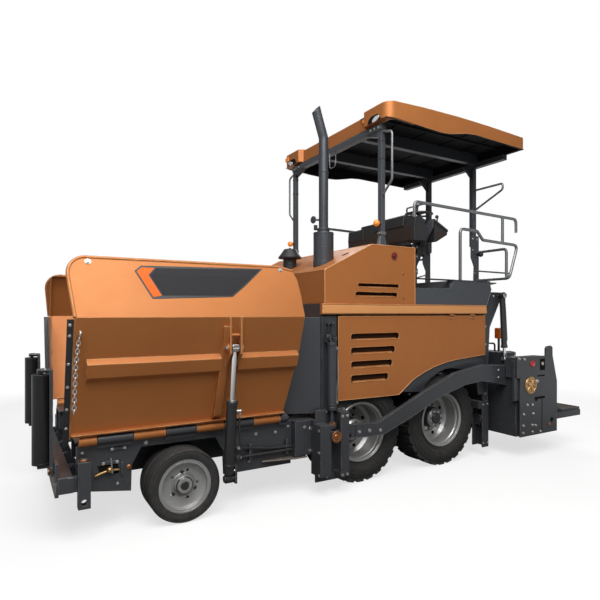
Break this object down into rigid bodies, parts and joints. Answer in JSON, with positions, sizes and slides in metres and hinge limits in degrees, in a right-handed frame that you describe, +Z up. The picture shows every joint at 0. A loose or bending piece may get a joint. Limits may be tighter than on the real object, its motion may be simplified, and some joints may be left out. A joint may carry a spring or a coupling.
{
  "type": "wheeled asphalt paver",
  "caption": "Wheeled asphalt paver with folding hopper wings, side doors, a covered operator's deck, augers and a towed floating screed with sliding extensions.",
  "frame": {"origin": "on the ground, under the middle of the machine's length and width", "axes": "+X forward towards the hopper, +Y to the machine's left, +Z up"},
  "size_m": [5.832, 2.41, 3.65],
  "materials": {
    "tyre": "matt rubber",
    "copper_paint": "metallic satin",
    "slate_paint": "satin",
    "worn_steel": "scuffed",
    "rim_paint": "satin silver",
    "chrome_rod": "polished",
    "black_plastic": "matt",
    "rail_paint": "satin grey",
    "cylinder_paint": "satin",
    "seat_vinyl": "matt vinyl",
    "exhaust_steel": "heat-dulled"
  },
  "bodies": {
    "root": {"front_axle": "slate_paint", "rear_axles": "slate_paint", "hopper_frame": "slate_paint", "hopper_floor": "slate_paint", "conveyors": "worn_steel", "push_beam": "worn_steel", "chassis": "slate_paint", "body_walls": "slate_paint", "ledge_rails": "copper_paint", "engine_hood": "copper_paint", "deck": "slate_paint", "engine": "slate_paint", "exhaust": "exhaust_steel", "air_intake": "black_plastic", "tow_guides": "slate_paint", "auger_mounts": "slate_paint", "canopy_roof": "copper_paint", "canopy_frame": "slate_paint", "handrails": "rail_paint", "consoles": "black_plastic", "seat": "seat_vinyl"},
    "tow_blocks": {"tow_blocks": "slate_paint"},
    "screed": {"screed_arms": "slate_paint", "screed_base": "slate_paint"},
    "lift_barrels": {"lift_barrels": "cylinder_paint"},
    "lift_rods": {"lift_rods": "chrome_rod"},
    "wing_left": {"hopper_wing_left": "copper_paint"},
    "wing_barrel_left": {"wing_barrel_left": "cylinder_paint"},
    "wing_rod_left": {"wing_rod_left": "chrome_rod"},
    "knuckle_left": {"steering_knuckle_left": "slate_paint"},
    "front_wheel_left": {"front_tyre_left": "tyre", "front_rim_left": "rim_paint"},
    "rear_wheel_1_left": {"rear_tyre_1_left": "tyre", "rear_rim_1_left": "rim_paint"},
    "rear_wheel_2_left": {"rear_tyre_2_left": "tyre", "rear_rim_2_left": "rim_paint"},
    "door_left": {"side_door_left": "copper_paint"},
    "roller_bracket_left": {"roller_bracket_left": "slate_paint"},
    "push_roller_left": {"push_roller_left": "worn_steel"},
    "screed_extension_left": {"screed_extension_left": "slate_paint"},
    "auger_left": {"auger_left": "worn_steel"},
    "wing_right": {"hopper_wing_right": "copper_paint"},
    "wing_barrel_right": {"wing_barrel_right": "cylinder_paint"},
    "wing_rod_right": {"wing_rod_right": "chrome_rod"},
    "knuckle_right": {"steering_knuckle_right": "slate_paint"},
    "front_wheel_right": {"front_tyre_right": "tyre", "front_rim_right": "rim_paint"},
    "rear_wheel_1_right": {"rear_tyre_1_right": "tyre", "rear_rim_1_right": "rim_paint"},
    "rear_wheel_2_right": {"rear_tyre_2_right": "tyre", "rear_rim_2_right": "rim_paint"},
    "door_right": {"side_door_right": "copper_paint"},
    "roller_bracket_right": {"roller_bracket_right": "slate_paint"},
    "push_roller_right": {"push_roller_right": "worn_steel"},
    "screed_extension_right": {"screed_extension_right": "slate_paint"},
    "auger_right": {"auger_right": "worn_steel"}
  },
  "joints": [
    {"name": "wing_left", "type": "hinge", "parent": "root", "child": "wing_left", "pos_m": [1.824, 0.875, 0.69], "axis": [-1, 0, 0], "range_deg": [0, 57]},
    {"name": "wing_barrel_left", "type": "hinge", "parent": "root", "child": "wing_barrel_left", "pos_m": [1.562, 1.03, 0.3], "axis": [-1, 0, 0], "range_deg": [0, 40.26]},
    {"name": "wing_rod_left", "type": "slide", "parent": "wing_barrel_left", "child": "wing_rod_left", "axis": [0, 0.1152, 0.9933], "range_m": [-0.3058, 0]},
    {"name": "steering_left", "type": "hinge", "parent": "root", "child": "knuckle_left", "pos_m": [1.888, 0.61, 0.28], "axis": [0, 0, 1], "range_deg": [-12, 12]},
    {"name": "front_wheel_left", "type": "hinge", "parent": "knuckle_left", "child": "front_wheel_left", "pos_m": [1.888, 0.83, 0.28], "axis": [0, 1, 0], "continuous": true},
    {"name": "rear_wheel_1_left", "type": "hinge", "parent": "root", "child": "rear_wheel_1_left", "pos_m": [0.17, 0.745, 0.475], "axis": [0, 1, 0], "continuous": true},
    {"name": "rear_wheel_2_left", "type": "hinge", "parent": "root", "child": "rear_wheel_2_left", "pos_m": [-0.9, 0.745, 0.475], "axis": [0, 1, 0], "continuous": true},
    {"name": "door_left", "type": "hinge", "parent": "root", "child": "door_left", "pos_m": [-0.988, 0.96, 1.578], "axis": [1, 0, 0], "range_deg": [0, 75]},
    {"name": "roller_bracket_left", "type": "hinge", "parent": "root", "child": "roller_bracket_left", "pos_m": [2.79, 0.8, 0.49], "axis": [1, 0, 0], "range_deg": [0, 90]},
    {"name": "push_roller_left", "type": "hinge", "parent": "roller_bracket_left", "child": "push_roller_left", "pos_m": [2.856, 0.77, 0.86], "axis": [0, 0, 1], "continuous": true},
    {"name": "screed_extension_left", "type": "slide", "parent": "screed", "child": "screed_extension_left", "axis": [0, 1, 0], "range_m": [0, 0.6]},
    {"name": "auger_left", "type": "hinge", "parent": "root", "child": "auger_left", "pos_m": [-1.59, 0.42, 0.4], "axis": [0, 1, 0], "continuous": true},
    {"name": "wing_right", "type": "hinge", "parent": "root", "child": "wing_right", "pos_m": [1.824, -0.875, 0.69], "axis": [1, 0, 0], "range_deg": [0, 57]},
    {"name": "wing_barrel_right", "type": "hinge", "parent": "root", "child": "wing_barrel_right", "pos_m": [1.562, -1.03, 0.3], "axis": [1, 0, 0], "range_deg": [0, 40.26]},
    {"name": "wing_rod_right", "type": "slide", "parent": "wing_barrel_right", "child": "wing_rod_right", "axis": [0, -0.1152, 0.9933], "range_m": [-0.3058, 0]},
    {"name": "steering_right", "type": "hinge", "parent": "root", "child": "knuckle_right", "pos_m": [1.888, -0.61, 0.28], "axis": [0, 0, 1], "range_deg": [-12, 12]},
    {"name": "front_wheel_right", "type": "hinge", "parent": "knuckle_right", "child": "front_wheel_right", "pos_m": [1.888, -0.83, 0.28], "axis": [0, 1, 0], "continuous": true},
    {"name": "rear_wheel_1_right", "type": "hinge", "parent": "root", "child": "rear_wheel_1_right", "pos_m": [0.17, -0.745, 0.475], "axis": [0, 1, 0], "continuous": true},
    {"name": "rear_wheel_2_right", "type": "hinge", "parent": "root", "child": "rear_wheel_2_right", "pos_m": [-0.9, -0.745, 0.475], "axis": [0, 1, 0], "continuous": true},
    {"name": "door_right", "type": "hinge", "parent": "root", "child": "door_right", "pos_m": [-0.988, -0.96, 1.578], "axis": [-1, 0, 0], "range_deg": [0, 75]},
    {"name": "roller_bracket_right", "type": "hinge", "parent": "root", "child": "roller_bracket_right", "pos_m": [2.79, -0.8, 0.49], "axis": [-1, 0, 0], "range_deg": [0, 90]},
    {"name": "push_roller_right", "type": "hinge", "parent": "roller_bracket_right", "child": "push_roller_right", "pos_m": [2.856, -0.77, 0.86], "axis": [0, 0, 1], "continuous": true},
    {"name": "screed_extension_right", "type": "slide", "parent": "screed", "child": "screed_extension_right", "axis": [0, -1, 0], "range_m": [0, 0.6]},
    {"name": "auger_right", "type": "hinge", "parent": "root", "child": "auger_right", "pos_m": [-1.59, -0.42, 0.4], "axis": [0, 1, 0], "continuous": true},
    {"name": "tow_points", "type": "slide", "parent": "root", "child": "tow_blocks", "axis": [0, 0, 1], "range_m": [-0.05, 0.05]},
    {"name": "screed_lift", "type": "hinge", "parent": "tow_blocks", "child": "screed", "pos_m": [0.585, 0, 0.52], "axis": [0, -1, 0], "range_deg": [0, 4.6]},
    {"name": "lift_barrels", "type": "hinge", "parent": "root", "child": "lift_barrels", "pos_m": [-1.787, 0, 1.797], "axis": [0, 1, 0], "range_deg": [0, 1.77]},
    {"name": "lift_rods", "type": "slide", "parent": "lift_barrels", "child": "lift_rods", "axis": [-0.0582, 0, -0.9983], "range_m": [0, 0.2015]}
  ],
  "couplings": [
    {"joint": "wing_barrel_left", "follows": "wing_left", "ratio": 0.69752},
    {"joint": "wing_rod_left", "follows": "wing_left", "m_per_rad": -0.30339},
    {"joint": "wing_barrel_right", "follows": "wing_right", "ratio": 0.69752},
    {"joint": "wing_rod_right", "follows": "wing_right", "m_per_rad": -0.30339},
    {"joint": "steering_right", "follows": "steering_left", "ratio": 1},
    {"joint": "lift_barrels", "follows": "screed_lift", "ratio": 0.32065},
    {"joint": "lift_rods", "follows": "screed_lift", "m_per_rad": 2.4596}
  ]
}
